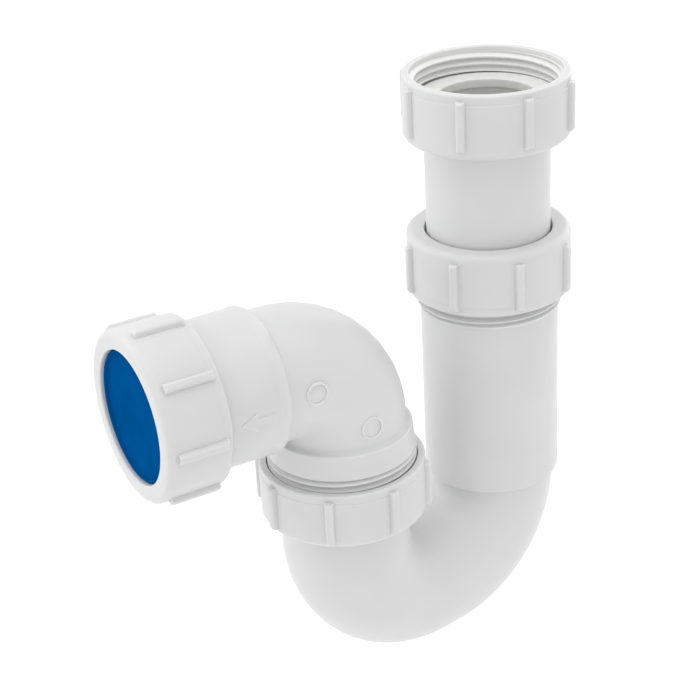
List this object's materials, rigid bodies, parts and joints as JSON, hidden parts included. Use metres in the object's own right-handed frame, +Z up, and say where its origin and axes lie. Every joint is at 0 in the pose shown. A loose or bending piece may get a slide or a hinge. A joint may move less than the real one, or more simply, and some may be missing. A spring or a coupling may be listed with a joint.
{
  "type": "p trap",
  "caption": "Adjustable-inlet P trap: lugged coupling nut, telescopic inlet tube, U-bend, union nut, swivelling elbow and threaded compression outlet with a pull-out blank.",
  "frame": {"origin": "centre of the coupling nut's open mouth", "axes": "+Z up the inlet axis, out of the coupling nut; the U-bend runs from the inlet axis along -X"},
  "size_m": [0.1659, 0.0673, 0.1898],
  "materials": {
    "white_pp": "satin",
    "washer": "matte",
    "seal_rubber": "matte",
    "slip_ring": "satin",
    "blue_blank": "satin"
  },
  "bodies": {
    "inlet": {"inlet_tube": "white_pp", "inlet_washer": "washer"},
    "coupling": {"coupling_nut": "white_pp"},
    "trap": {"trap_body": "white_pp", "height_seal": "seal_rubber", "union_washer": "washer"},
    "height_ring": {"height_slip_ring": "slip_ring"},
    "height_grip": {"height_nut": "white_pp"},
    "elbow": {"outlet_elbow": "white_pp", "outlet_seal": "seal_rubber"},
    "union_ring": {"union_split_ring": "slip_ring"},
    "union_grip": {"union_nut": "white_pp"},
    "outlet_ring": {"outlet_slip_ring": "slip_ring"},
    "outlet_grip": {"outlet_nut": "white_pp"},
    "blank": {"outlet_blank": "blue_blank"}
  },
  "joints": [
    {"name": "coupling_nut_spin", "type": "hinge", "parent": "inlet", "child": "coupling", "pos_m": [0, 0, 0], "axis": [0, 0, 1], "continuous": true},
    {"name": "height_slide", "type": "slide", "parent": "inlet", "child": "trap", "axis": [0, 0, 1], "range_m": [-0.025, 0.024]},
    {"name": "height_nut_rise", "type": "slide", "parent": "trap", "child": "height_ring", "axis": [0, 0, 1], "range_m": [0, 0.00692]},
    {"name": "height_nut_turn", "type": "hinge", "parent": "height_ring", "child": "height_grip", "pos_m": [0, 0, -0.0623], "axis": [0, 0, 1], "range_deg": [0, 1080]},
    {"name": "elbow_swivel", "type": "hinge", "parent": "trap", "child": "elbow", "pos_m": [-0.06558, 0, -0.1102], "axis": [0, 0, 1], "range_deg": [-105, 124]},
    {"name": "union_nut_drop", "type": "slide", "parent": "elbow", "child": "union_ring", "axis": [0, 0, -1], "range_m": [0, 0.00692]},
    {"name": "union_nut_turn", "type": "hinge", "parent": "union_ring", "child": "union_grip", "pos_m": [-0.06558, 0, -0.1102], "axis": [0, 0, -1], "range_deg": [0, 1080]},
    {"name": "outlet_nut_draw", "type": "slide", "parent": "elbow", "child": "outlet_ring", "axis": [-0.9856, 0.1692, 0], "range_m": [0, 0.00692]},
    {"name": "outlet_nut_turn", "type": "hinge", "parent": "outlet_ring", "child": "outlet_grip", "pos_m": [-0.12422, 0.01007, -0.0751], "axis": [-0.9856, 0.1692, 0], "range_deg": [0, 1080]},
    {"name": "blank_pull", "type": "slide", "parent": "outlet_ring", "child": "blank", "axis": [-0.9856, 0.1692, 0], "range_m": [0, 0.07]}
  ],
  "couplings": [
    {"joint": "height_nut_turn", "follows": "height_nut_rise", "rad_per_m": 2721.2},
    {"joint": "union_nut_turn", "follows": "union_nut_drop", "rad_per_m": 2721.2},
    {"joint": "outlet_nut_turn", "follows": "outlet_nut_draw", "rad_per_m": 2721.2}
  ]
}
